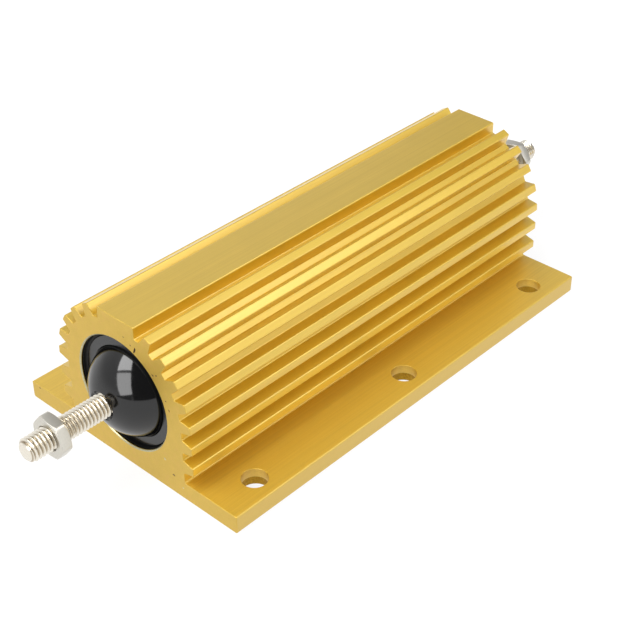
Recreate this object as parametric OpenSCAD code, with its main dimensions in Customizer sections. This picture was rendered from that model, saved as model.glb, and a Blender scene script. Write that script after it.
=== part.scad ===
// Aluminium housed wirewound power resistor, chassis mounting.
// A finned aluminium extrusion carries a wire-wound ceramic core in its bore.
// X runs along the terminal axis, Y across the mounting flange, Z is up.
// The origin is the centre of the mounting face. All sizes are in millimetres.

/* [Housing] */
// Length of the extruded housing along the terminal axis
body_l = 127.5; // [120:0.5:160]
// Width over the mounting flange
base_w = 71.4; // [70:0.2:76]
// Thickness of the mounting flange
base_t = 4.8; // [4:0.1:5.2]
// Height from the mounting face to the top land
body_h = 41; // [40.4:0.1:42]
// Width of the flat land along the top of the housing
land_w = 12; // [9:0.2:12.4]
// Height of the bore axis above the mounting face
axis_h = 20; // [19.9:0.05:20.3]

/* [Fins] */
// Distance from the bore axis to the fin tips
fin_r = 22.35; // [22:0.05:23.5]
// Depth of the slots between fins
slot_depth = 3.1; // [2:0.1:3.2]
// Angle between the top centre line and the first fin
fin_first = 27.7; // [27:0.1:29]
// Angular pitch of the five radial fins
fin_pitch = 14.75; // [14:0.05:15]
// Thickness of a fin at its tip
fin_tip = 2.1; // [1.6:0.05:2.3]
// Width of the floor of a slot between radial fins
slot_floor = 1.65; // [1.2:0.05:2]
// Vertical pitch of the level fins on each flank
flank_pitch = 5.85; // [5.4:0.05:5.9]
// Width of the floor of a slot on the flank
flank_floor = 2.1; // [1.6:0.05:2.4]
// Rounding of the fin edges and of the flange edges
edge_r = 0.35; // [0.15:0.05:0.45]

/* [Bore] */
// Diameter of the bore
bore_d = 29.1; // [28.4:0.1:29.6]
// Chamfer at each mouth of the bore
bore_ch = 0.45; // [0.2:0.05:0.8]

/* [Mounting holes] */
// Diameter of the six mounting holes
hole_d = 6.5; // [5.5:0.1:7]
// Distance between the outer hole pairs, along the housing
hole_px = 104; // [90:0.5:108]
// Distance between the two rows of holes
hole_py = 59; // [58:0.25:61]

/* [End plugs] */
// Diameter of the moulded plug
plug_d = 28.2; // [27.6:0.1:28.3]
// How far the rim of the plug sits inside the bore
rim_in = 1.5; // [0.8:0.05:2.5]
// Diameter of the dome at its foot, inside the rim ring
dome_d = 22.7; // [20:0.1:22.8]
// Inner diameter of the rim ring around the dome
ring_d = 23.2; // [23.1:0.1:25]
// Height of the dome above the end face of the housing
dome_out = 6.5; // [4:0.1:8]
// Depth of the narrow groove between dome and rim ring
groove = 1.6; // [0.8:0.1:4]

/* [Terminals] */
// Outside diameter of the stud thread
stud_d = 5.9; // [4.8:0.1:6]
// Length of the stud outside the end face of the housing
stud_out = 27.3; // [24:0.1:34]
// Width across flats of the terminal nut
nut_af = 9.8; // [8:0.1:11]
// Thickness of the terminal nut
nut_h = 3; // [2:0.1:5]
// Distance from the end face of the housing to the outer face of the nut
nut_out = 21.2; // [18:0.1:22]
// Turn of the nut at the -X end
nut_turn_a = 22; // [0:1:59]
// Turn of the nut at the +X end
nut_turn_b = 24; // [0:1:59]

/* [Element] */
// Diameter of the ceramic core
core_d = 15; // [12:0.5:17]
// Diameter of the resistance wire
wire_d = 1.1; // [0.6:0.1:1.6]
// Wall of the end ferrule
cap_wall = 0.8; // [0.5:0.1:1.2]
// Depth of the ferrule over the end of the core
cap_l = 10; // [6:0.5:14]

/* [Hidden] */
$fn = 96;

gold = [0.80, 0.60, 0.22];
black = [0.07, 0.07, 0.075];
rubber = [0.04, 0.04, 0.04];
tin = [0.80, 0.78, 0.72];
steel = [0.62, 0.62, 0.60];
brass = [0.72, 0.60, 0.33];
ceramic = [0.90, 0.88, 0.82];
nichrome = [0.52, 0.47, 0.40];
cement = [0.55, 0.53, 0.50];

half_l = body_l / 2;
slot_r = fin_r - slot_depth;
bore_r = bore_d / 2;
plug_r = plug_d / 2;
stud_r = stud_d / 2;
pitch_r = stud_r - 0.3;  // pitch radius of the thread, where stud and nut meet
core_r = core_d / 2;
cap_r = core_r + cap_wall;
wind_r = core_r + wire_d;
plug_back = 9;      // depth of the plug's inner face below the end face
head_h = 2;         // thickness of the stud's head, behind the plug
head_r = 5;
cap_t = 1;          // thickness of the ferrule's end disc
core_in = plug_back + head_h + cap_t;
cap_back = core_in + cap_l;

// ---- outline of the extrusion ------------------------------------------

function dirv(a) = [sin(a), cos(a)];
function perp(a) = [-cos(a), sin(a)];
function at(a, r, s) = [0, axis_h] + r * dirv(a) + s * perp(a);
root_half = (2 * slot_r * sin(fin_pitch / 2) - slot_floor) / 2;
flank_half = (flank_pitch - flank_floor) / 2;
fin5_a = fin_first + 4 * fin_pitch;
fin5_z = axis_h + fin_r * cos(fin5_a);
flank_z1 = fin5_z - flank_pitch;
flank_z2 = fin5_z - 2 * flank_pitch;

// each entry is [point, rounding radius], running from the top land down
// one flank to the mounting face
function radial(i) = let (a = fin_first + i * fin_pitch) [
    [at(a, slot_r, root_half), edge_r],
    [at(a, fin_r, fin_tip / 2), edge_r],
    [at(a, fin_r, -fin_tip / 2), edge_r],
    [at(a, slot_r, -root_half), edge_r]];
function level(z) = [
    [[slot_r, z + flank_half], edge_r],
    [[fin_r, z + fin_tip / 2], edge_r],
    [[fin_r, z - fin_tip / 2], edge_r],
    [[slot_r, z - flank_half], edge_r]];
flank = concat(
    [[[land_w / 2, body_h], edge_r], [[land_w / 2, body_h - slot_depth + 0.1], edge_r]],
    radial(0), radial(1), radial(2), radial(3),
    [[at(fin5_a, slot_r, root_half), edge_r],
     [at(fin5_a, fin_r, fin_tip / 2), edge_r],
     [at(fin5_a, fin_r, -fin_tip / 2), edge_r],
     [[slot_r, fin5_z - flank_half], edge_r]],
    level(flank_z1), level(flank_z2),
    [[[slot_r, base_t], edge_r * 1.6],
     [[base_w / 2, base_t], edge_r * 1.2],
     [[base_w / 2, 0], edge_r * 1.6]]);

// points of the rounded corner at q, between p and n
function corner(p, q, n, r) = let (
    u = (p - q) / norm(p - q), v = (n - q) / norm(n - q),
    half = acos(max(-1, min(1, u * v))) / 2,
    t = min(r / tan(half), 0.42 * min(norm(p - q), norm(n - q))),
    rr = t * tan(half),
    c = q + (u + v) / norm(u + v) * rr / sin(half),
    s = q + u * t - c, e = q + v * t - c,
    a0 = atan2(s[1], s[0]), da0 = atan2(e[1], e[0]) - a0,
    da = da0 > 180 ? da0 - 360 : (da0 < -180 ? da0 + 360 : da0))
    [for (k = [0 : 3]) c + rr * [cos(a0 + da * k / 3), sin(a0 + da * k / 3)]];
nf = len(flank);
function rounded() = [for (i = [0 : nf - 1])
    let (p = i == 0 ? [0, body_h] : flank[i - 1][0],
         n = i == nf - 1 ? [0, 0] : flank[i + 1][0])
    each corner(p, flank[i][0], n, flank[i][1])];
side = rounded();
ns = len(side);
outline = concat(side, [for (i = [0 : ns - 1]) [-side[ns - 1 - i][0], side[ns - 1 - i][1]]]);

// ---- placing along the terminal axis -----------------------------------

// children are drawn with +Z pointing out of the end face, z = 0 in the face
module end_a() { translate([-half_l, 0, axis_h]) rotate([0, -90, 0]) children(); }
module end_b() { translate([half_l, 0, axis_h]) rotate([0, 90, 0]) children(); }
module along(x0, x1, r) { translate([x0, 0, axis_h]) rotate([0, 90, 0]) cylinder(h = x1 - x0, r = r); }

// ---- housing ------------------------------------------------------------

module housing() color(gold) difference() {
    rotate([90, 0, 90]) translate([0, 0, -half_l]) linear_extrude(height = body_l) polygon(outline);
    along(-half_l - 1, half_l + 1, bore_r);
    end_a() translate([0, 0, -bore_ch]) cylinder(h = bore_ch + 1, r1 = bore_r, r2 = bore_r + bore_ch + 1);
    end_b() translate([0, 0, -bore_ch]) cylinder(h = bore_ch + 1, r1 = bore_r, r2 = bore_r + bore_ch + 1);
    for (x = [-hole_px / 2, 0, hole_px / 2], y = [-hole_py / 2, hole_py / 2])
        translate([x, y, -1]) cylinder(h = base_t + 2, r = hole_d / 2);
}

// ---- moulded end plug ---------------------------------------------------

// the dome is a spherical cap whose foot lies a little above the rim ring
dome_r = dome_d / 2;
dome_foot = rim_in - 0.35;
dome_rise = dome_out + dome_foot;
dome_sph = (dome_r * dome_r + dome_rise * dome_rise) / (2 * dome_rise);
dome_c = dome_out - dome_sph;
lip_r = stud_r + 0.75;
function dome_z(r) = dome_c + sqrt(dome_sph * dome_sph - r * r);
dome_pts = [for (k = [0 : 14]) let (r = lip_r + (dome_r - lip_r) * sin(k * 90 / 14)) [r, dome_z(r)]];
module plug_shape() rotate_extrude() polygon(concat(
    [[stud_r, -plug_back], [stud_r, dome_z(lip_r) - 0.6], [stud_r + 0.25, dome_z(lip_r) - 0.6]],
    dome_pts,
    [[dome_r, -rim_in - groove], [ring_d / 2, -rim_in - groove],
     [ring_d / 2, -rim_in - 0.15], [ring_d / 2 + 0.15, -rim_in],
     [plug_r - 0.4, -rim_in], [plug_r, -rim_in - 0.4],
     [plug_r, -plug_back]]));
module plug_a() color(black) end_a() plug_shape();
module plug_b() color(black) end_b() plug_shape();

// ---- sealing bead between plug and bore ----------------------------------

module seal_shape() rotate_extrude() polygon([
    [plug_r, -plug_back], [plug_r, -rim_in - 0.4],
    [plug_r + (bore_r - plug_r) * 0.4, -rim_in - 0.15],
    [plug_r + (bore_r - plug_r) * 0.8, -bore_ch - 0.45],
    [bore_r, -bore_ch - 0.1], [bore_r, -plug_back]]);
module seal_a() color(rubber) end_a() seal_shape();
module seal_b() color(rubber) end_b() seal_shape();

// ---- threaded terminal stud -----------------------------------------------

// plain at the outside diameter of its thread, and at the pitch diameter
// where the nut's thread engages it
module stud_shape() rotate_extrude() polygon([
    [0, -plug_back - head_h], [head_r - 0.3, -plug_back - head_h], [head_r, -plug_back - head_h + 0.3],
    [head_r, -plug_back], [stud_r, -plug_back],
    [stud_r, nut_out - nut_h], [pitch_r, nut_out - nut_h], [pitch_r, nut_out], [stud_r, nut_out],
    [stud_r, stud_out - 0.6], [stud_r - 0.6, stud_out], [0, stud_out]]);
module stud_a() color(tin) end_a() stud_shape();
module stud_b() color(tin) end_b() stud_shape();

// ---- thin hexagon nut -------------------------------------------------------

nut_face = nut_af * 0.475;
module nut_shape() difference() {
    intersection() {
        cylinder(h = nut_h, r = nut_af / sqrt(3), $fn = 6);
        cylinder(h = nut_h, r1 = nut_face, r2 = nut_face + nut_h * 1.732);
        cylinder(h = nut_h, r1 = nut_face + nut_h * 1.732, r2 = nut_face);
    }
    translate([0, 0, -1]) cylinder(h = nut_h + 2, r = pitch_r);
    translate([0, 0, -0.01]) cylinder(h = 0.66, r1 = pitch_r + 0.65, r2 = pitch_r - 0.01);
    translate([0, 0, nut_h - 0.65]) cylinder(h = 0.66, r1 = pitch_r - 0.01, r2 = pitch_r + 0.65);
}
module nut_a() color(steel) end_a() translate([0, 0, nut_out - nut_h]) rotate([0, 0, nut_turn_a]) nut_shape();
module nut_b() color(steel) end_b() translate([0, 0, nut_out - nut_h]) rotate([0, 0, nut_turn_b]) nut_shape();

// ---- end ferrule pressed over the core ---------------------------------------

module ferrule_shape() rotate_extrude() polygon([
    [0, -core_in], [0, -core_in + cap_t], [cap_r - 0.5, -core_in + cap_t],
    [cap_r, -core_in + cap_t - 0.5], [cap_r, -cap_back], [core_r, -cap_back], [core_r, -core_in]]);
module ferrule_a() color(brass) end_a() ferrule_shape();
module ferrule_b() color(brass) end_b() ferrule_shape();

// ---- ceramic core, resistance winding, moulded filling -------------------------

module core() color(ceramic) along(-half_l + core_in, half_l - core_in, core_r);

// the wound wire, drawn as a sleeve one wire thick
module winding() color(nichrome) translate([0, 0, axis_h]) rotate([0, 90, 0])
    rotate_extrude() translate([core_r, -half_l + cap_back])
        square([wire_d, body_l - 2 * cap_back]);

// one half of the cavity wall inside the filling, from the plug inwards
function cavity(s) = [[head_r, s * (half_l - plug_back)], [head_r, s * (half_l - plug_back - head_h)],
    [cap_r, s * (half_l - plug_back - head_h)], [cap_r, s * (half_l - cap_back)],
    [wind_r, s * (half_l - cap_back)]];
cav_a = cavity(-1);
cav_b = cavity(1);
module filling() color(cement) translate([0, 0, axis_h]) rotate([0, 90, 0])
    rotate_extrude() polygon(concat(
        [[bore_r, half_l - plug_back], [bore_r, -half_l + plug_back]],
        cav_a, [for (k = [4 : -1 : 0]) cav_b[k]]));

housing();
plug_a();
plug_b();
seal_a();
seal_b();
stud_a();
stud_b();
nut_a();
nut_b();
ferrule_a();
ferrule_b();
core();
winding();
filling();
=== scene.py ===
import math

import bmesh
import bpy
from mathutils import Matrix, Vector
from mathutils.geometry import tessellate_polygon

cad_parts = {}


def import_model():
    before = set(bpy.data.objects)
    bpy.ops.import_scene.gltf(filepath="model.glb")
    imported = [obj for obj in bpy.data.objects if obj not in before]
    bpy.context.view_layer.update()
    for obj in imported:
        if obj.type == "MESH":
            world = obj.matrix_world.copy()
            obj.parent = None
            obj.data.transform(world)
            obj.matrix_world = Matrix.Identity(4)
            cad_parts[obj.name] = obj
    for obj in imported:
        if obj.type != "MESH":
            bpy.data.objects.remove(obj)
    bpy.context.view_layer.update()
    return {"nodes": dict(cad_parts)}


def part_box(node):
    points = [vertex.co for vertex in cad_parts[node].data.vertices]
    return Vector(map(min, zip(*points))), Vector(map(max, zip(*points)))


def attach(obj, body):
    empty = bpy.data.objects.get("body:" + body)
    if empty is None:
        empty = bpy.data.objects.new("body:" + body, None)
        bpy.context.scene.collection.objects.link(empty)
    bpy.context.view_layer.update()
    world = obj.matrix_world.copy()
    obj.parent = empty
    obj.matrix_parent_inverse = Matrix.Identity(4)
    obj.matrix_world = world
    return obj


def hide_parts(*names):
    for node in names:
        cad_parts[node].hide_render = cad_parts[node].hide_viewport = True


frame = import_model()
NODES = frame["nodes"]
MM = 0.001

# ---------------------------------------------------------------- sizes (mm)
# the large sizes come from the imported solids, the small ones repeat the
# part's own numbers
h_lo, h_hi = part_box("housing")
s_lo, s_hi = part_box("stud_b")
n_lo, n_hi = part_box("nut_b")
HALF_L = h_hi.x / MM
HALF_W = h_hi.y / MM
BODY_H = h_hi.z / MM
AXIS_H = (s_lo.z + s_hi.z) / 2 / MM
STUD_OUT = s_hi.x / MM - HALF_L
NUT_OUT = n_hi.x / MM - HALF_L
NUT_H = (n_hi.x - n_lo.x) / MM
BASE_T = 4.8
LAND_W = 12.0
FIN_R, SLOT_DEPTH = 22.35, 3.1
FIN_FIRST, FIN_PITCH, FIN_TIP, SLOT_FLOOR = 27.7, 14.75, 2.1, 1.65
FLANK_PITCH, FLANK_FLOOR, EDGE_R = 5.85, 2.1, 0.35
BORE_R, BORE_CH = 14.55, 0.3
HOLE_R, HOLE_PX, HOLE_PY = 3.25, 104.0, 59.0
PLUG_R, RIM_IN, RING_R = 14.1, 1.5, 11.6
SPH_R, DOME_C, GROOVE, PLUG_BACK = 12.27, -5.75, 1.6, 9.0
STUD_R, HEAD_R, HEAD_H = 2.95, 5.0, 2.0
NUT_AF, NUT_TURN = 9.6, {"a": 22.0, "b": 24.0}
CORE_R, WIRE_D, CAP_BACK = 7.5, 1.1, 22.0
PITCH = 1.0


# ---------------------------------------------------------------- mesh helpers
def new_object(name, bm, materials, smooth=True, weighted=True):
    bmesh.ops.recalc_face_normals(bm, faces=bm.faces)
    me = bpy.data.meshes.new(name)
    bm.to_mesh(me)
    bm.free()
    ob = bpy.data.objects.new(name, me)
    bpy.context.scene.collection.objects.link(ob)
    for m in materials:
        me.materials.append(m)
    if smooth:
        me.shade_smooth()
    if weighted:
        w = ob.modifiers.new("normals", "WEIGHTED_NORMAL")
        w.mode = "FACE_AREA"
        w.weight = 50
        w.keep_sharp = True
    return ob


def fillet(points, n=6, closed=False):
    """points are (x, y, radius); each corner becomes an arc of n steps."""
    out = []
    m = len(points)
    for i, (x, y, r) in enumerate(points):
        if r <= 0 or (not closed and i in (0, m - 1)):
            out.append((x, y))
            continue
        p, q, s = Vector(points[i - 1][:2]), Vector((x, y)), Vector(points[(i + 1) % m][:2])
        u, v = (p - q), (s - q)
        lu, lv = u.length, v.length
        u, v = u / lu, v / lv
        half = math.acos(max(-1.0, min(1.0, u.dot(v)))) / 2
        if half > math.radians(89.5):
            out.append((x, y))
            continue
        t = min(r / math.tan(half), 0.42 * min(lu, lv))
        rr = t * math.tan(half)
        c = q + (u + v).normalized() * rr / math.sin(half)
        a, b = q + u * t - c, q + v * t - c
        a0 = math.atan2(a.y, a.x)
        da = math.atan2(b.y, b.x) - a0
        da = (da + math.pi) % (2 * math.pi) - math.pi
        for k in range(n + 1):
            w = a0 + da * k / n
            out.append((c.x + rr * math.cos(w), c.y + rr * math.sin(w)))
    return out


def end_matrix(sign):
    """Local +Z is out of the end face, z = 0 in the face, axis on the bore's."""
    if sign < 0:
        r = Matrix(((0, 0, -1), (0, 1, 0), (1, 0, 0)))
    else:
        r = Matrix(((0, 0, 1), (0, 1, 0), (-1, 0, 0)))
    m = r.to_4x4()
    m.translation = Vector((sign * HALF_L, 0, AXIS_H))
    return Matrix.Diagonal((MM, MM, MM, 1)) @ m


def lathe(name, profile, sign, materials, seg=160, mats=None, shift=lambda r: (0.0, 0.0)):
    """profile is (r, z) along a closed or axis-to-axis outline, in mm."""
    bm = bmesh.new()
    m = end_matrix(sign)
    rings = []
    for r, z in profile:
        if r < 1e-6:
            rings.append([bm.verts.new(m @ Vector((0, 0, z)))])
        else:
            dy, dz = shift(r)
            # the end frame's y is the part's y, its x is up or down with the side
            dx = dz * (-sign if sign > 0 else 1)
            rings.append([bm.verts.new(m @ Vector((r * math.cos(2 * math.pi * i / seg) + dx, r * math.sin(2 * math.pi * i / seg) + dy, z))) for i in range(seg)])
    closed = len(rings[0]) > 1 and len(rings[-1]) > 1
    pairs = list(zip(rings, rings[1:])) + ([(rings[-1], rings[0])] if closed else [])
    for k, (a, b) in enumerate(pairs):
        mi = mats[k] if mats and k < len(mats) else 0
        for i in range(seg):
            j = (i + 1) % seg
            if len(a) == 1 and len(b) == 1:
                continue
            if len(a) == 1:
                f = bm.faces.new((a[0], b[i], b[j]))
            elif len(b) == 1:
                f = bm.faces.new((a[i], b[0], a[j]))
            else:
                f = bm.faces.new((a[i], b[i], b[j], a[j]))
            f.material_index = mi
    return new_object(name, bm, materials)


# ---------------------------------------------------------------- materials
class Nodes:
    """A small helper to build node materials."""

    def __init__(self, name):
        self.mat = bpy.data.materials.new(name)
        self.mat.use_nodes = True
        self.nt = self.mat.node_tree
        self.nt.nodes.clear()
        self.out = self.add("ShaderNodeOutputMaterial")
        self.bsdf = self.add("ShaderNodeBsdfPrincipled")
        self.link(self.bsdf.outputs["BSDF"], self.out.inputs["Surface"])

    def add(self, kind, **props):
        n = self.nt.nodes.new(kind)
        for k, v in props.items():
            setattr(n, k, v)
        return n

    def link(self, a, b):
        self.nt.links.new(a, b)

    def put(self, **values):
        for k, v in values.items():
            self.bsdf.inputs[k.replace("_", " ")].default_value = v

    def coords(self, scale=(1000, 1000, 1000), rot=(0, 0, 0)):
        tc = self.add("ShaderNodeTexCoord")
        mp = self.add("ShaderNodeMapping")
        mp.inputs["Scale"].default_value = scale
        mp.inputs["Rotation"].default_value = rot
        self.link(tc.outputs["Object"], mp.inputs["Vector"])
        return mp.outputs["Vector"]

    def noise(self, vec, scale, detail=3.0, rough=0.55, distortion=0.0):
        n = self.add("ShaderNodeTexNoise")
        n.inputs["Scale"].default_value = scale
        n.inputs["Detail"].default_value = detail
        n.inputs["Roughness"].default_value = rough
        n.inputs["Distortion"].default_value = distortion
        self.link(vec, n.inputs["Vector"])
        return n.outputs["Fac"]

    def remap(self, fac, a, b, c, d, smooth=False):
        n = self.add("ShaderNodeMapRange")
        n.interpolation_type = "SMOOTHSTEP" if smooth else "LINEAR"
        for key, v in zip(("From Min", "From Max", "To Min", "To Max"), (a, b, c, d)):
            n.inputs[key].default_value = v
        self.link(fac, n.inputs["Value"])
        return n.outputs["Result"]

    def ramp(self, fac, stops):
        n = self.add("ShaderNodeValToRGB")
        el = n.color_ramp.elements
        while len(el) < len(stops):
            el.new(0.5)
        for e, (p, c) in zip(el, stops):
            e.position = p
            e.color = (*c, 1)
        self.link(fac, n.inputs["Fac"])
        return n.outputs["Color"]

    def mix(self, fac, a, b, blend="MIX"):
        n = self.add("ShaderNodeMix", data_type="RGBA", blend_type=blend)
        for sock, v in ((n.inputs[0], fac), (n.inputs[6], a), (n.inputs[7], b)):
            if isinstance(v, (int, float)):
                sock.default_value = v
            elif isinstance(v, tuple):
                sock.default_value = (*v, 1)
            else:
                self.link(v, sock)
        return n.outputs[2]

    def math(self, op, a, b=None, clamp=False):
        n = self.add("ShaderNodeMath", operation=op, use_clamp=clamp)
        for sock, v in zip(n.inputs, (a, b)):
            if v is None:
                continue
            if isinstance(v, (int, float)):
                sock.default_value = v
            else:
                self.link(v, sock)
        return n.outputs[0]

    def bump(self, height, strength, distance, normal=None):
        n = self.add("ShaderNodeBump")
        n.inputs["Strength"].default_value = strength
        n.inputs["Distance"].default_value = distance
        self.link(height, n.inputs["Height"])
        if normal:
            self.link(normal, n.inputs["Normal"])
        return n.outputs["Normal"]


def gold_extruded():
    m = Nodes("anodised_extruded")
    v = m.coords()
    streak = m.noise(m.coords((14, 2400, 2400)), 1.0, 2.0)
    cloud = m.noise(v, 0.06, 3.0)
    grain = m.noise(v, 5.5, 2.0, 0.6)
    base = m.mix(m.remap(cloud, 0.3, 0.7, 0, 1), (0.72, 0.495, 0.038), (0.77, 0.53, 0.043))
    # the flange is more matt than the fins; its colour is also a little paler, painted light that brightens it
    part = m.add("ShaderNodeSeparateXYZ")
    m.link(v, part.inputs[0])
    flange = m.remap(part.outputs["Z"], 8.0, 6.0, 0, 1)
    # painted shade: the flange's outer sides are coloured darker
    side = m.remap(m.math("ABSOLUTE", part.outputs["Y"]), 35.35, 35.6, 0, 1)
    base = m.mix(flange, base, (0.785, 0.535, 0.041))
    base = m.mix(side, base, (0.64, 0.43, 0.032))
    base = m.mix(m.remap(streak, 0.35, 0.7, 0, 0.45), base, (0.66, 0.44, 0.028))
    m.link(base, m.bsdf.inputs["Base Color"])
    rough = m.math("ADD", m.remap(grain, 0.3, 0.7, 0.48, 0.56), m.remap(streak, 0.3, 0.7, -0.03, 0.03))
    m.link(m.math("ADD", rough, m.math("MULTIPLY", flange, 0.06)), m.bsdf.inputs["Roughness"])
    m.link(m.remap(flange, 0, 1, 0.3, 0.42), m.bsdf.inputs["Coat Roughness"])
    n = m.bump(grain, 0.25, 0.00002)
    n = m.bump(streak, 0.45, 0.00001, n)
    m.link(n, m.bsdf.inputs["Normal"])
    m.put(Metallic=1.0, Coat_Weight=1.0, Coat_IOR=1.75)
    return m.mat


def gold_cut():
    m = Nodes("anodised_cut")
    v = m.coords()
    cloud = m.noise(v, 0.45, 5.0, 0.7)
    tinge = m.noise(v, 0.7, 3.0, 0.6, 0.4)
    grain = m.noise(v, 4.5, 3.0, 0.65)
    base = m.mix(m.remap(cloud, 0.3, 0.7, 0, 1), (0.60, 0.413, 0.068), (0.655, 0.451, 0.08))
    base = m.mix(m.remap(grain, 0.3, 0.7, 0, 0.3), base, (0.54, 0.365, 0.052))
    base = m.mix(m.remap(tinge, 0.5, 0.68, 0, 0.35), base, (0.645, 0.40, 0.098))
    m.link(base, m.bsdf.inputs["Base Color"])
    m.link(m.remap(grain, 0.3, 0.7, 0.46, 0.56), m.bsdf.inputs["Roughness"])
    m.link(m.bump(grain, 0.4, 0.00003), m.bsdf.inputs["Normal"])
    m.put(Metallic=1.0, Coat_Weight=0.35, Coat_Roughness=0.5, Coat_IOR=1.5)
    return m.mat


def black_gloss():
    m = Nodes("moulding_gloss")
    v = m.coords()
    fine = m.noise(v, 0.5, 2.0)
    # a few specks of dust
    cell = m.add("ShaderNodeTexVoronoi", feature="F1")
    cell.inputs["Scale"].default_value = 0.42
    m.link(v, cell.inputs["Vector"])
    speck = m.math("MULTIPLY", m.remap(cell.outputs["Distance"], 0.05, 0.03, 0, 1), m.remap(m.noise(v, 0.21, 1.0), 0.5, 0.56, 0, 1))
    m.link(m.mix(speck, (0.0025, 0.0025, 0.0027), (0.16, 0.16, 0.15)), m.bsdf.inputs["Base Color"])
    m.put(IOR=1.55)
    m.link(m.math("ADD", m.remap(fine, 0.3, 0.7, 0.07, 0.11), m.math("MULTIPLY", speck, 0.5)), m.bsdf.inputs["Roughness"])
    m.link(m.bump(fine, 0.05, 0.00005), m.bsdf.inputs["Normal"])
    return m.mat


def black_satin():
    m = Nodes("moulding_satin")
    v = m.coords()
    fine = m.noise(v, 3.0, 3.0)
    m.put(Base_Color=(0.004, 0.004, 0.0045, 1), IOR=1.5)
    m.link(m.remap(fine, 0.3, 0.7, 0.16, 0.22), m.bsdf.inputs["Roughness"])
    m.link(m.bump(fine, 0.15, 0.00002), m.bsdf.inputs["Normal"])
    return m.mat


def gap_painted_shade():
    """The narrow gap round the dome: painted shade, near black and rough."""
    m = Nodes("moulding_gap_painted_shade")
    v = m.coords()
    fine = m.noise(v, 3.0, 3.0)
    m.put(Base_Color=(0.0015, 0.0015, 0.0013, 1), IOR=1.3)
    m.link(m.remap(fine, 0.3, 0.7, 0.5, 0.65), m.bsdf.inputs["Roughness"])
    m.link(m.bump(fine, 0.3, 0.00003), m.bsdf.inputs["Normal"])
    return m.mat


def silicone():
    m = Nodes("sealing_bead")
    v = m.coords()
    fine = m.noise(v, 1.5, 3.0)
    m.put(Base_Color=(0.004, 0.004, 0.0035, 1), IOR=1.33)
    m.link(m.remap(fine, 0.3, 0.7, 0.4, 0.55), m.bsdf.inputs["Roughness"])
    m.link(m.bump(fine, 0.2, 0.0001), m.bsdf.inputs["Normal"])
    return m.mat


def edge_highlight_and_nick_metal():
    """The bore's chamfer: paler metal than the faces beside it, a painted highlight; also the bare metal of two small
    nicks in the cut end.
    """
    m = Nodes("bore_edge_highlight_and_nick_metal")
    v = m.coords()
    fine = m.noise(v, 2.0, 3.0)
    m.link(m.mix(m.remap(fine, 0.3, 0.7, 0, 1), (0.56, 0.53, 0.34), (0.44, 0.41, 0.25)), m.bsdf.inputs["Base Color"])
    m.link(m.remap(fine, 0.3, 0.7, 0.3, 0.42), m.bsdf.inputs["Roughness"])
    m.link(m.bump(fine, 0.2, 0.00002), m.bsdf.inputs["Normal"])
    m.put(Metallic=1.0)
    return m.mat


def hole_wall_painted_shade():
    """Lower part of a hole wall: rougher, and painted darker as shade."""
    m = Nodes("anodised_hole_painted_shade")
    grain = m.noise(m.coords((1000, 1000, 600)), 2.2, 4.0, 0.6)
    m.link(m.mix(m.remap(grain, 0.3, 0.7, 0, 1), (0.52, 0.31, 0.028), (0.36, 0.2, 0.016)), m.bsdf.inputs["Base Color"])
    m.link(m.remap(grain, 0.3, 0.7, 0.55, 0.7), m.bsdf.inputs["Roughness"])
    m.link(m.bump(grain, 0.6, 0.00006), m.bsdf.inputs["Normal"])
    m.put(Metallic=1.0)
    return m.mat


def pit_painted_shade():
    """Painted shade: dark brown in the small pits of the cut end."""
    m = Nodes("pit_painted_shade")
    v = m.coords()
    fine = m.noise(v, 6.0, 3.0)
    m.link(m.mix(m.remap(fine, 0.35, 0.65, 0, 1), (0.035, 0.017, 0.007), (0.12, 0.062, 0.02)), m.bsdf.inputs["Base Color"])
    m.link(m.remap(fine, 0.3, 0.7, 0.55, 0.75), m.bsdf.inputs["Roughness"])
    m.link(m.bump(fine, 0.5, 0.00005), m.bsdf.inputs["Normal"])
    return m.mat


def plated(name, tint, r0, r1, valley_shade=None):
    m = Nodes(name)
    v = m.coords()
    fine = m.noise(v, 3.0, 3.0)
    base = m.mix(m.remap(fine, 0.3, 0.7, 0, 1), tint, tuple(c * 0.92 for c in tint))
    if valley_shade:
        # painted shade: the thread's valleys are coloured darker; r is the distance from the stud's axis, in mm
        part = m.add("ShaderNodeSeparateXYZ")
        m.link(v, part.inputs[0])
        y, z = part.outputs["Y"], m.math("SUBTRACT", part.outputs["Z"], AXIS_H)
        r = m.math("SQRT", m.math("ADD", m.math("MULTIPLY", y, y), m.math("MULTIPLY", z, z)))
        low = m.math("MULTIPLY", m.remap(r, 2.62, 2.38, 0, 1), m.remap(r, 2.2, 2.32, 0, 1))
        base = m.mix(low, base, valley_shade)
    m.link(base, m.bsdf.inputs["Base Color"])
    m.link(m.remap(fine, 0.3, 0.7, r0, r1), m.bsdf.inputs["Roughness"])
    m.link(m.bump(fine, 0.15, 0.00002), m.bsdf.inputs["Normal"])
    m.put(Metallic=1.0)
    return m.mat


def plain(name, tint, rough, metallic=0.0, scale=2.0):
    m = Nodes(name)
    v = m.coords()
    fine = m.noise(v, scale, 4.0)
    base = m.mix(m.remap(fine, 0.3, 0.7, 0, 1), tint, tuple(c * 0.8 for c in tint))
    m.link(base, m.bsdf.inputs["Base Color"])
    m.link(m.remap(fine, 0.3, 0.7, rough - 0.05, rough + 0.08), m.bsdf.inputs["Roughness"])
    m.link(m.bump(fine, 0.2, 0.00005), m.bsdf.inputs["Normal"])
    m.put(Metallic=metallic)
    return m.mat


GOLD, GOLD_CUT = gold_extruded(), gold_cut()
BLACK, SATIN, GAP_SHADE, BEAD = black_gloss(), black_satin(), gap_painted_shade(), silicone()
EDGE, PIT_SHADE, HOLE_SHADE = edge_highlight_and_nick_metal(), pit_painted_shade(), hole_wall_painted_shade()
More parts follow.
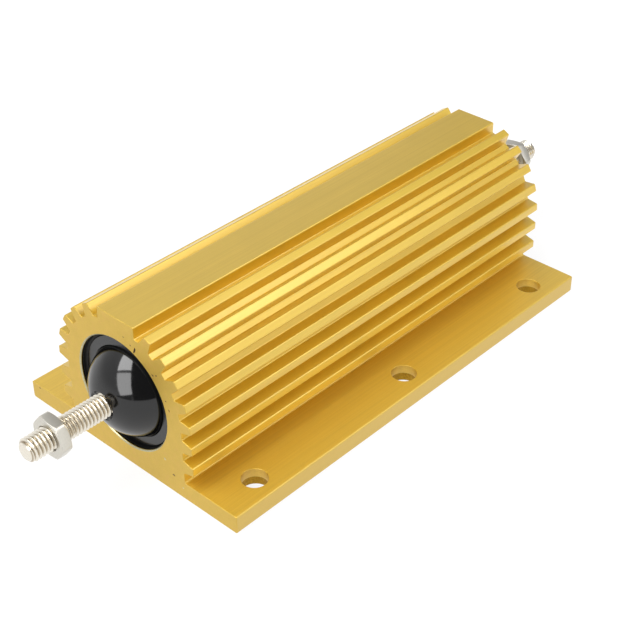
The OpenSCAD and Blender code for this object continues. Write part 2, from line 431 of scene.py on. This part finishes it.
# the last colour is painted shade in the stud's thread valleys
STUD_MAT = plated("plated_stud_metal", (0.81, 0.76, 0.66), 0.2, 0.28, (0.42, 0.35, 0.25))
NUT_MAT = plated("plated_nut_metal", (0.64, 0.615, 0.55), 0.3, 0.38)
BRASS = plain("ferrule_metal", (0.72, 0.56, 0.28), 0.3, 1.0)
CERAMIC = plain("core_ceramic_body", (0.82, 0.80, 0.74), 0.6)
WIRE = plain("resistance_wire_metal", (0.42, 0.38, 0.33), 0.35, 1.0)
FILL = plain("filling_body", (0.45, 0.43, 0.40), 0.8)


# ---------------------------------------------------------------- housing
# small pits in the cut end at -X: place (y, z), half length, half width,
# turn in degrees, depth, material
# material 5 paints shade into a pit, material 4 is the pale edge metal
PITS = [
    (-5.9, 34.98, 0.9, 0.27, -67, 0.30, 5), (-4.62, 35.75, 0.24, 0.13, 20, 0.10, 5), (-11.33, 31.07, 0.36, 0.20, 15, 0.14, 5),
    (-12.50, 31.56, 0.26, 0.18, -40, 0.12, 5), (-15.87, 23.74, 0.34, 0.15, 60, 0.10, 5), (-15.69, 5.12, 0.40, 0.24, 10, 0.14, 5),
    (32.77, 5.17 - 1.1, 0.26, 0.18, 30, 0.10, 5), (-13.01, 8.28, 0.38, 0.22, 35, 0.12, 4), (-15.0, 25.9, 0.22, 0.15, 0, 0.08, 5), (-2.45, 36.91, 0.2, 0.13, 25, 0.08, 5), (-18.57, 3.01, 0.24, 0.16, 5, 0.1, 4),
]


def outline():
    slot_r = FIN_R - SLOT_DEPTH
    root = (2 * slot_r * math.sin(math.radians(FIN_PITCH / 2)) - SLOT_FLOOR) / 2
    fl = (FLANK_PITCH - FLANK_FLOOR) / 2
    tip = FIN_TIP / 2

    def at(a, r, s):
        a = math.radians(a)
        return (r * math.sin(a) - s * math.cos(a), AXIS_H + r * math.cos(a) + s * math.sin(a), EDGE_R)

    a5 = FIN_FIRST + 4 * FIN_PITCH
    z5 = AXIS_H + FIN_R * math.cos(math.radians(a5))
    pts = [(LAND_W / 2, BODY_H, EDGE_R), (LAND_W / 2, BODY_H - SLOT_DEPTH + 0.1, EDGE_R)]
    for i in range(4):
        a = FIN_FIRST + i * FIN_PITCH
        pts += [at(a, slot_r, root), at(a, FIN_R, tip), at(a, FIN_R, -tip), at(a, slot_r, -root)]
    pts += [at(a5, slot_r, root), at(a5, FIN_R, tip), at(a5, FIN_R, -tip), (slot_r, z5 - fl, EDGE_R)]
    for z in (z5 - FLANK_PITCH, z5 - 2 * FLANK_PITCH):
        pts += [(slot_r, z + fl, EDGE_R), (FIN_R, z + tip, EDGE_R), (FIN_R, z - tip, EDGE_R), (slot_r, z - fl, EDGE_R)]
    pts += [(slot_r, BASE_T, EDGE_R * 1.6), (HALF_W, BASE_T, EDGE_R * 1.2), (HALF_W, 0, EDGE_R * 1.6)]
    full = pts + [(-x, y, r) for x, y, r in reversed(pts)]
    return fillet(full, 6, closed=True)


def inset(points, d):
    """The closed outline moved inwards by d, corner by corner."""
    n = len(points)
    area = sum(points[i][0] * points[(i + 1) % n][1] - points[(i + 1) % n][0] * points[i][1] for i in range(n))
    s = 1 if area > 0 else -1
    out = []
    for i in range(n):
        p, q, r = Vector(points[i - 1]), Vector(points[i]), Vector(points[(i + 1) % n])
        a, b = (q - p).normalized(), (r - q).normalized()
        na, nb = Vector((-a.y, a.x)) * s, Vector((-b.y, b.x)) * s
        m = (na + nb).normalized()
        out.append(tuple(q + m * (d / max(0.3, m.dot(na)))))
    return out


def housing():
    bm = bmesh.new()
    base = outline()
    n = len(base)
    e = 0.12
    steps = 3
    rings = []
    for sgn in (-1, 1):
        half = []
        for k in range(steps + 1):
            w = math.pi / 2 * k / steps
            ring = inset(base, e * (1 - math.sin(w))) if k < steps else base
            x = HALF_L - e * (1 - math.cos(w))
            half.append([bm.verts.new(Vector((sgn * x, y, z)) * MM) for y, z in ring])
        rings.append(half)
    left, right = rings

    def strip(a, b, skip=(), mi=0):
        for i in range(n):
            if i in skip:
                continue
            j = (i + 1) % n
            bm.faces.new((a[i], a[j], b[j], b[i])).material_index = mi

    sharp = [left[0], right[0]]
    flats = []
    for i in range(n):
        (y0, z0), (y1, z1) = base[i], base[(i + 1) % n]
        if abs(z0 - z1) < 1e-6 and abs(y0 - y1) > 10 and (abs(z0 - BASE_T) < 1e-6 or abs(z0) < 1e-6):
            flats.append(i)
    for side in (left, right):
        for a, b in zip(side, side[1:]):
            strip(a, b, mi=1)
    strip(left[-1], right[-1], skip=flats)

    def flat(loops, mi):
        """One flat face with holes, from closed loops of vertices."""
        order = [v for loop in loops for v in loop]
        for t in tessellate_polygon([[v.co / MM for v in loop] for loop in loops]):
            try:
                bm.faces.new([order[k] for k in t]).material_index = mi
            except ValueError:
                pass

    # ends, with the mouth of the bore
    seg = 144
    bore = {}
    for sgn, side in ((-1, left), (1, right)):
        loops = []
        for r, d in ((BORE_R + BORE_CH + 0.03, 0.0), (BORE_R + BORE_CH - 0.02, 0.03), (BORE_R + 0.03, BORE_CH - 0.02), (BORE_R, BORE_CH + 0.04)):
            loops.append([bm.verts.new(Vector((sgn * (HALF_L - d), r * math.cos(2 * math.pi * k / seg), AXIS_H + r * math.sin(2 * math.pi * k / seg))) * MM) for k in range(seg)])
        marks = []
        for cy, cz, ha, hb, turn, deep, mi in PITS if sgn < 0 else []:
            rims = []
            for scale, d in ((1.0, 0.0), (0.82, 0.55), (0.45, 0.9)):
                rim = []
                for k in range(18):
                    w = 2 * math.pi * k / 18
                    wob = 1 + 0.16 * math.sin(3 * w + cy) + 0.10 * math.sin(5 * w + 2 * cz)
                    y, z = ha * wob * scale * math.cos(w), hb * wob * scale * math.sin(w)
                    c, q = math.cos(math.radians(turn)), math.sin(math.radians(turn))
                    rim.append(bm.verts.new(Vector((sgn * (HALF_L - d * deep), cy + y * c - z * q, cz + y * q + z * c)) * MM))
                rims.append(rim)
            for k in range(18):
                bm.edges.new((rims[0][k], rims[0][(k + 1) % 18])).smooth = False
            mid = bm.verts.new(Vector((sgn * (HALF_L - deep), cy, cz)) * MM)
            for a, b in zip(rims, rims[1:]):
                for k in range(18):
                    j = (k + 1) % 18
                    bm.faces.new((a[k], a[j], b[j], b[k])).material_index = mi
            for k in range(18):
                bm.faces.new((rims[-1][k], rims[-1][(k + 1) % 18], mid)).material_index = mi
            marks.append(rims[0])
        flat([side[0], loops[0]] + marks, 1)
        sharp.append(loops[0])
        # the first two loops of the mouth take the pale edge metal, a painted highlight
        for q, (a, b) in enumerate(zip(loops, loops[1:])):
            for k in range(seg):
                j = (k + 1) % seg
                bm.faces.new((a[k], a[j], b[j], b[k])).material_index = 4 if q < 2 else 2
        bore[sgn] = loops[-1]
    for k in range(seg):
        j = (k + 1) % seg
        bm.faces.new((bore[-1][k], bore[-1][j], bore[1][j], bore[1][k])).material_index = 2

    # flange holes
    hs = 64
    he = 0.07
    tops, bottoms = {1: [], -1: []}, []
    for x in (-HOLE_PX / 2, 0, HOLE_PX / 2):
        for sy in (-1, 1):
            cy = sy * HOLE_PY / 2
            prof = []
            for k in range(4):
                w = math.pi / 2 * k / 3
                prof.append((HOLE_R - he * math.sin(w), BASE_T - he * (1 - math.cos(w))))
            prof += [(HOLE_R - he, 2.45), (HOLE_R - he + 0.05, 2.3), (HOLE_R + 0.2, 0.15), (HOLE_R + 0.26, 0.0)]
            loops = [[bm.verts.new(Vector((x + r * math.cos(2 * math.pi * k / hs), cy + r * math.sin(2 * math.pi * k / hs), z)) * MM) for k in range(hs)] for r, z in prof]
            # the lower part of each hole wall takes the darker material, painted shade
            for q, (a, b) in enumerate(zip(loops, loops[1:])):
                for k in range(hs):
                    j = (k + 1) % hs
                    bm.faces.new((a[k], a[j], b[j], b[k])).material_index = 3 if q < 4 else 6
            sharp += [loops[0], loops[-1], loops[4]]
            tops[sy].append(loops[0])
            bottoms.append(loops[-1])
    for i in flats:
        j = (i + 1) % n
        outer = [left[-1][i], left[-1][j], right[-1][j], right[-1][i]]
        if abs(base[i][1]) < 1e-6:
            flat([outer] + bottoms, 0)
        else:
            flat([outer] + tops[1 if base[i][0] > 0 else -1], 0)
    for ring in sharp:
        for k in range(len(ring)):
            edge = bm.edges.get((ring[k - 1], ring[k]))
            if edge:
                edge.smooth = False
    return new_object("housing_body", bm, [GOLD, GOLD_CUT, GOLD_CUT, GOLD, EDGE, PIT_SHADE, HOLE_SHADE])


# ---------------------------------------------------------------- plugs
def plug_profile():
    """From the stud's hole over the dome, down the groove and over the ring."""
    lip = STUD_R + 0.75
    foot_p = -RIM_IN + 0.2
    foot_r = math.sqrt(SPH_R ** 2 - (foot_p - DOME_C) ** 2)
    a0, a1 = math.asin(lip / SPH_R), math.asin(foot_r / SPH_R)
    dome = [(SPH_R * math.sin(a0 + (a1 - a0) * k / 56), DOME_C + SPH_R * math.cos(a0 + (a1 - a0) * k / 56)) for k in range(57)]
    z_lip = dome[0][1]
    start = fillet([(STUD_R, -PLUG_BACK, 0), (STUD_R, z_lip - 0.6, 0), (STUD_R + 0.25, z_lip - 0.6, 0.1), (lip, z_lip, 0.12), dome[1] + (0,)], 4)[:-1]
    rest = fillet([dome[-2] + (0,), dome[-1] + (0.25,), (foot_r + 0.02, -RIM_IN - GROOVE, 0.1), (RING_R, -RIM_IN - GROOVE, 0.1), (RING_R, -RIM_IN, 0.08),
                   (PLUG_R, -RIM_IN, 0.3), (PLUG_R, -PLUG_BACK, 0)], 5)[1:]
    return start + dome[1:-2] + rest


def settle(r, r0, r1, off):
    """How far a moulding that sits a little off centre carries radius r."""
    w = max(0.0, min(1.0, (r - r0) / (r1 - r0)))
    w = w * w * (3 - 2 * w)
    return off[0] * w, off[1] * w


def plug(name, sign, off):
    prof = plug_profile()
    mats = []
    for (r0, z0), (r1, z1) in zip(prof, prof[1:] + prof[:1]):
        r, z = (r0 + r1) / 2, (z0 + z1) / 2
        if r > RING_R + 0.03:
            mats.append(1)
        else:
            # the groove walls round the dome take the gap material, painted shade
            mats.append(2 if r > 9.0 and z < -RIM_IN + 0.46 else 0)
    return lathe(name, prof, sign, [BLACK, SATIN, GAP_SHADE], 192, mats, lambda r: settle(r, STUD_R + 1.0, 8.0, off))


def seal(name, sign, off):
    prof = [(PLUG_R, -PLUG_BACK), (PLUG_R, -RIM_IN - 0.3)]
    for k in range(1, 9):
        t = k / 8
        prof.append((PLUG_R + (BORE_R - 0.01 - PLUG_R) * t, -RIM_IN - 0.3 + (RIM_IN - BORE_CH + 0.1) * (1 - math.sqrt(1 - t * t))))
    prof.append((BORE_R - 0.01, -PLUG_BACK))
    return lathe(name, prof, sign, [BEAD], 160, None, lambda r: settle(r, BORE_R - 0.02, PLUG_R, off))


# ---------------------------------------------------------------- threads
CREST, ROOT = 0.0, 0.60
# one pitch of the thread: place along the pitch, depth below the crest (in pitches)
THREAD = [(-0.085, 0.035), (-0.045, 0.003), (0.0, 0.0), (0.045, 0.003), (0.085, 0.035),
          (0.25, 0.30), (0.415, 0.565), (0.455, 0.595), (0.5, 0.60), (0.545, 0.595), (0.585, 0.565), (0.75, 0.30)]


def thread_rows(z0, z1, thetas, r_crest, phase):
    """Rows of (r, z) along the helix, clamped to z0..z1, one list per angle."""
    k0, k1 = math.floor(z0 / PITCH) - 2, math.ceil(z1 / PITCH) + 2
    rows = []
    for k in range(k0, k1):
        for u, d in THREAD:
            rows.append((k + u + phase, r_crest - d * PITCH))
    cols = []
    for t in thetas:
        cols.append([(r, min(z1, max(z0, (zz + t / (2 * math.pi)) * PITCH))) for zz, r in rows])
    return cols


def stud(name, sign, out_r=STUD_R):
    bm = bmesh.new()
    m = end_matrix(sign)
    seg = 72
    thetas = [2 * math.pi * i / seg for i in range(seg)]
    z0, z1 = 3.0, STUD_OUT
    cols = thread_rows(z0, z1, thetas, out_r, 0.1)
    face = 2.05
    dome = 0.12

    def env(r, z):
        top = z1 - dome
        r = min(r, face + max(0.0, top - z) * 1.15)
        r = min(r, 2.0 + (z - z0) * 3.0)
        return r

    verts = [[bm.verts.new(m @ Vector((env(r, min(z, z1 - dome)) * math.cos(t), env(r, min(z, z1 - dome)) * math.sin(t), min(z, z1 - dome)))) for r, z in col] for t, col in zip(thetas, cols)]
    nt = len(THREAD)
    rows = len(cols[0])
    for i in range(seg):
        for k in range(rows - 1):
            a, b = verts[i], verts[(i + 1) % seg]
            # the column after the last is the first, one pitch further on
            kb = k + nt if i == seg - 1 else k
            if kb + 1 >= rows:
                continue
            q = (a[k], a[k + 1], b[kb + 1], b[kb])
            if len({tuple(round(c, 9) for c in v.co) for v in q}) < 3:
                continue
            bm.faces.new(q)
    bmesh.ops.remove_doubles(bm, verts=bm.verts, dist=2e-7)
    bmesh.ops.dissolve_degenerate(bm, dist=1e-7, edges=bm.edges)

    # rounded end face
    tip_z = z1 - dome
    ring = sorted((v for v in bm.verts if abs((m.inverted() @ v.co).z - tip_z) < 1e-4), key=lambda v: math.atan2((m.inverted() @ v.co).y, (m.inverted() @ v.co).x))
    prev = ring
    for q in (0.85, 0.6, 0.3):
        nxt = []
        for v in ring:
            c = m.inverted() @ v.co
            nxt.append(bm.verts.new(m @ Vector((c.x * q, c.y * q, tip_z + dome * (1 - q * q) ** 0.5))))
        for i in range(len(ring)):
            j = (i + 1) % len(ring)
            bm.faces.new((prev[i], prev[j], nxt[j], nxt[i]))
        prev = nxt
    c = bm.verts.new(m @ Vector((0, 0, z1)))
    for i in range(len(prev)):
        bm.faces.new((prev[i], prev[(i + 1) % len(prev)], c))
    # shank inside the plug, and its head
    low = sorted((v for v in bm.verts if abs((m.inverted() @ v.co).z - z0) < 1e-4), key=lambda v: math.atan2((m.inverted() @ v.co).y, (m.inverted() @ v.co).x))
    prof = [(2.0, z0), (2.6, z0 - 0.6), (2.6, -PLUG_BACK), (HEAD_R - 0.2, -PLUG_BACK), (HEAD_R, -PLUG_BACK - 0.2), (HEAD_R, -PLUG_BACK - HEAD_H + 0.3), (HEAD_R - 0.3, -PLUG_BACK - HEAD_H)]
    prev = low
    for r, z in prof[1:]:
        nxt = []
        for v in low:
            c = m.inverted() @ v.co
            a = math.atan2(c.y, c.x)
            nxt.append(bm.verts.new(m @ Vector((r * math.cos(a), r * math.sin(a), z))))
        for i in range(len(low)):
            j = (i + 1) % len(low)
            bm.faces.new((prev[i], prev[j], nxt[j], nxt[i]))
        prev = nxt
    bm.faces.new(prev)
    ob = new_object(name, bm, [STUD_MAT], weighted=False)
    ob.data.set_sharp_from_angle(angle=math.radians(50))
    return ob


# ---------------------------------------------------------------- nuts
def hex_radius(a, af, rho):
    """Distance from the centre to a hexagon with corners rounded to rho."""
    a = (a + math.pi / 6) % (math.pi / 3) - math.pi / 6  # 0 at a corner
    a = abs(a)
    flat = af / 2
    # centre of the corner arc lies on the corner's own line
    cr = (flat - rho) / math.cos(math.pi / 6)
    # where the arc ends on the flat
    ang_end = math.atan2(rho * math.sin(math.pi / 6), cr + rho * math.cos(math.pi / 6))
    if a < ang_end:
        return cr * math.cos(a) + math.sqrt(max(0.0, rho * rho - (cr * math.sin(a)) ** 2))
    return flat / math.cos(math.pi / 6 - a)


def nut(name, sign, turn):
    bm = bmesh.new()
    m = end_matrix(sign) @ Matrix.Rotation(math.radians(turn), 4, "Z")
    z0, z1 = NUT_OUT - NUT_H, NUT_OUT
    rho = 0.9
    thetas = []
    for k in range(6):
        for d in (-30, -25, -20, -15, -10, -7, -4.5, -3, -1.5, 0, 1.5, 3, 4.5, 7, 10, 15, 20, 25):
            thetas.append(math.radians(k * 60 + d) % (2 * math.pi))
    thetas.sort()
    face = NUT_AF * 0.475
    t30 = math.tan(math.radians(30))
    outer = []
    for t in thetas:
        rh = hex_radius(t, NUT_AF, rho)
        dz = max(0.03, (rh - face) * t30)
        pts = fillet([(face - 0.6, z0, 0), (face, z0, 0.10), (rh, z0 + dz, 0.08), (rh, z1 - dz, 0.08), (face, z1, 0.10), (face - 0.6, z1, 0)], 3)
        outer.append([bm.verts.new(m @ Vector((r * math.cos(t), r * math.sin(t), z))) for r, z in pts])
    nt = len(thetas)
    for i in range(nt):
        a, b = outer[i], outer[(i + 1) % nt]
        for k in range(len(a) - 1):
            bm.faces.new((a[k], b[k], b[k + 1], a[k + 1]))
    # thread inside, a little clear of the stud's
    cs = STUD_R + 0.28
    cols = thread_rows(z0, z1, thetas, STUD_R + 0.06, 0.1 + turn / 360.0)
    inner = []
    for t, col in zip(thetas, cols):
        line = []
        for r, z in col:
            r = max(r, cs - (z - z0) * 1.0, cs - (z1 - z) * 1.0)
            line.append(bm.verts.new(m @ Vector((r * math.cos(t), r * math.sin(t), z))))
        inner.append(line)
    rows, ntd = len(cols[0]), len(THREAD)
    for i in range(nt):
        for k in range(rows - 1):
            a, b = inner[i], inner[(i + 1) % nt]
            kb = k + ntd if i == nt - 1 else k
            if kb + 1 >= rows:
                continue
            q = (a[k], a[k + 1], b[kb + 1], b[kb])
            if len({tuple(round(c, 9) for c in v.co) for v in q}) < 3:
                continue
            bm.faces.new(q)
    bmesh.ops.remove_doubles(bm, verts=bm.verts, dist=2e-7)
    bmesh.ops.dissolve_degenerate(bm, dist=1e-7, edges=bm.edges)
    inv = m.inverted()
    for z in (z0, z1):
        ring = [v for v in bm.verts if abs((inv @ v.co).z - z) < 1e-4 and abs((inv @ v.co).xy.length - cs) < 0.02]
        rim = [v for v in bm.verts if abs((inv @ v.co).z - z) < 1e-4 and abs((inv @ v.co).xy.length - (face - 0.6)) < 0.02]
        key = lambda v: math.atan2((inv @ v.co).y, (inv @ v.co).x)
        ring.sort(key=key)
        rim.sort(key=key)
        if len(ring) == len(rim):
            for i in range(len(ring)):
                j = (i + 1) % len(ring)
                bm.faces.new((ring[i], ring[j], rim[j], rim[i]))
        else:
            print("nut", name, "ring", len(ring), "rim", len(rim))
    ob = new_object(name, bm, [NUT_MAT], weighted=False)
    ob.data.set_sharp_from_angle(angle=math.radians(38))
    return ob


# ---------------------------------------------------------------- winding
def winding(name):
    bm = bmesh.new()
    r = CORE_R + WIRE_D / 2
    wr = WIRE_D / 2 - 0.02
    half = HALF_L - CAP_BACK - wr - 0.05
    pitch = 1.45
    turns = 2 * half / pitch
    per = 30
    n = int(turns * per)
    prev = None
    for i in range(n + 1):
        a = 2 * math.pi * i / per
        x = -half + pitch * i / per
        ring = []
        for k in range(8):
            w = 2 * math.pi * k / 8
            rr = r + wr * math.cos(w)
            ring.append(bm.verts.new(Vector((x + wr * math.sin(w), rr * math.cos(a), AXIS_H + rr * math.sin(a))) * MM))
        if prev:
            for k in range(8):
                j = (k + 1) % 8
                bm.faces.new((prev[k], prev[j], ring[j], ring[k]))
        else:
            bm.faces.new(ring)
        prev = ring
    bm.faces.new(prev)
    return new_object(name, bm, [WIRE], weighted=False)


# ---------------------------------------------------------------- assembly
made = []
OFFSET = {"a": (-0.15, -0.15), "b": (0.1, -0.12)}


def place(ob, node):
    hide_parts(node)
    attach(ob, "root")
    made.append(ob)


place(housing(), "housing")
for tag, sign in (("a", -1), ("b", 1)):
    place(plug("plug_moulding_" + tag, sign, OFFSET[tag]), "plug_" + tag)
    place(seal("sealing_bead_" + tag, sign, OFFSET[tag]), "seal_" + tag)
    place(stud("threaded_stud_" + tag, sign), "stud_" + tag)
    place(nut("thin_nut_" + tag, sign, NUT_TURN[tag]), "nut_" + tag)
place(winding("wound_wire"), "winding")
for node, mat in (("ferrule_a", BRASS), ("ferrule_b", BRASS), ("core", CERAMIC), ("filling", FILL)):
    me = NODES[node].data
    me.materials.clear()
    me.materials.append(mat)


# ---------------------------------------------------------------- stage
def camera():
    az, el, dist, roll = math.radians(-47.147), math.radians(35.584), 341.025, math.radians(-0.207)
    back = Vector((math.sin(az) * math.cos(el), -math.cos(az) * math.cos(el), math.sin(el)))
    right = (-back).cross(Vector((0, 0, 1))).normalized()
    up = right.cross(-back)
    right, up = math.cos(roll) * right + math.sin(roll) * up, -math.sin(roll) * right + math.cos(roll) * up
    pos = Vector((-7.885, -8.688, 15.0)) + back * dist
    cam = bpy.data.cameras.new("camera")
    cam.lens = 1380.758 / 640 * 36
    cam.sensor_width = 36
    cam.clip_start, cam.clip_end = 0.01, 30
    ob = bpy.data.objects.new("camera", cam)
    bpy.context.scene.collection.objects.link(ob)
    ob.matrix_world = Matrix((
        (right.x, up.x, back.x, pos.x * MM),
        (right.y, up.y, back.y, pos.y * MM),
        (right.z, up.z, back.z, pos.z * MM),
        (0, 0, 0, 1)))
    bpy.context.scene.camera = ob


def floor():
    m = Nodes("floor_paper")
    v = m.coords((1, 1, 1))
    tone = m.noise(v, 3.0, 2.0)
    m.link(m.ramp(m.remap(tone, 0.3, 0.7, 0, 1), [(0, (0.145, 0.145, 0.145)), (1, (0.155, 0.155, 0.155))]), m.bsdf.inputs["Base Color"])
    m.put(Roughness=0.9, Emission_Color=(1, 1, 1, 1), Emission_Strength=0.86)
    m.bsdf.inputs["Specular IOR Level"].default_value = 0.1
    bm = bmesh.new()
    s = 6.0
    vs = [bm.verts.new(Vector((x, y, -0.00002))) for x, y in ((-s, -s), (s, -s), (s, s), (-s, s))]
    bm.faces.new(vs)
    ob = new_object("floor", bm, [m.mat], smooth=False, weighted=False)


def area(name, az, el, wide, high, radiance, dist=2.5):
    """A softbox by the direction it is seen in (azimuth from +X towards +Y,
    elevation), the angles it covers and the radiance of its face."""
    a, e = math.radians(az), math.radians(el)
    d = Vector((math.cos(a) * math.cos(e), math.sin(a) * math.cos(e), math.sin(e)))
    li = bpy.data.lights.new(name, "AREA")
    li.shape = "RECTANGLE"
    li.size = 2 * dist * math.tan(math.radians(wide / 2))
    li.size_y = 2 * dist * math.tan(math.radians(high / 2))
    li.energy = radiance * math.pi * li.size * li.size_y
    ob = bpy.data.objects.new(name, li)
    bpy.context.scene.collection.objects.link(ob)
    ob.matrix_world = Matrix.Translation(d * dist) @ d.to_track_quat("Z", "Y").to_matrix().to_4x4()
    return ob


WALL = 0.77


def world():
    w = bpy.data.worlds.new("studio")
    bpy.context.scene.world = w
    w.use_nodes = True
    nt = w.node_tree
    nt.nodes.clear()

    def add(kind, **props):
        n = nt.nodes.new(kind)
        for k, v in props.items():
            setattr(n, k, v)
        return n

    def step(value, a, b):
        n = add("ShaderNodeMapRange", interpolation_type="SMOOTHSTEP")
        n.inputs["From Min"].default_value, n.inputs["From Max"].default_value = a, b
        nt.links.new(value, n.inputs["Value"])
        return n.outputs["Result"]

    def times(a, b):
        n = add("ShaderNodeMath", operation="MULTIPLY")
        nt.links.new(a, n.inputs[0])
        nt.links.new(b, n.inputs[1])
        return n.outputs[0]

    # directions in the room: the angle round from the dark side, and planes
    # through the part that bound the softbox panes
    tc = add("ShaderNodeTexCoord")
    way = tc.outputs["Generated"]
    rot = add("ShaderNodeVectorRotate", rotation_type="Z_AXIS")
    rot.inputs["Angle"].default_value = math.radians(150)
    nt.links.new(way, rot.inputs["Vector"])
    xyz = add("ShaderNodeSeparateXYZ")
    nt.links.new(rot.outputs["Vector"], xyz.inputs[0])
    xyz_way = add("ShaderNodeSeparateXYZ")
    nt.links.new(way, xyz_way.inputs[0])
    turn = add("ShaderNodeMath", operation="ARCTAN2")
    nt.links.new(xyz.outputs["Y"], turn.inputs[0])
    nt.links.new(xyz.outputs["X"], turn.inputs[1])
    turn = turn.outputs[0]
    rad = math.radians

    def beyond(n, soft):
        """1 on the side of the plane that n points to."""
        dot = add("ShaderNodeVectorMath", operation="DOT_PRODUCT")
        dot.inputs[1].default_value = n
        nt.links.new(way, dot.inputs[0])
        return step(dot.outputs["Value"], -soft, soft)

    def mixed(fac, low, high):
        n = add("ShaderNodeMix", data_type="FLOAT")
        nt.links.new(fac, n.inputs[0])
        for sock, v in ((n.inputs[2], low), (n.inputs[3], high)):
            if isinstance(v, (int, float)):
                sock.default_value = v
            else:
                nt.links.new(v, sock)
        return n.outputs[0]

    sides = times(beyond((0.1148, -0.83, 0.5459), 0.015), beyond((-0.5126, 0.8331, -0.2079), 0.008))
    lower = times(times(sides, beyond((0.0465, 0.3683, 0.9286), 0.012)), beyond((-0.693, -0.4713, -0.5456), 0.012))
    upper = times(times(sides, beyond((-0.9756, 0.0407, -0.2159), 0.012)), beyond((0.7405, 0.488, 0.4621), 0.012))
    # the unlit side of the room behind the camera, and the gap under the panes
    dark = times(beyond((0.5126, -0.8331, 0.2079), 0.03), step(turn, rad(60), rad(46)))
    gap = times(times(beyond((-0.0465, -0.3683, -0.9286), 0.02), step(turn, rad(-38), rad(-30))), step(turn, rad(2), rad(-4)))
    level = mixed(step(xyz.outputs["Z"], 0.6, 0.9), WALL, WALL + 0.2)
    level = mixed(step(xyz.outputs["Z"], 0.35, 0.0), level, 1.08)
    # the far end of the room is lit less
    far = times(step(xyz_way.outputs["X"], 0.4, 0.75), step(xyz_way.outputs["Y"], 0.35, 0.0))
    level = mixed(far, level, 0.35)
    level = mixed(dark, level, 0.12)
    level = mixed(gap, level, 0.3)
    level = mixed(lower, level, 5.6)
    level = mixed(upper, level, 8.0)
    bg = add("ShaderNodeBackground")
    bg.inputs["Color"].default_value = (1, 1, 1, 1)
    nt.links.new(level, bg.inputs["Strength"])
    out = add("ShaderNodeOutputWorld")
    nt.links.new(bg.outputs[0], out.inputs[0])


camera()
floor()
world()
area("softbox_right", -66, 31, 52, 42, 0.8, 0.85)
area("softbox_top_right", -56, 55, 32, 30, 2.0, 0.42)

bpy.context.scene.view_settings.view_transform = "Standard"
bpy.context.scene.view_settings.look = "None"
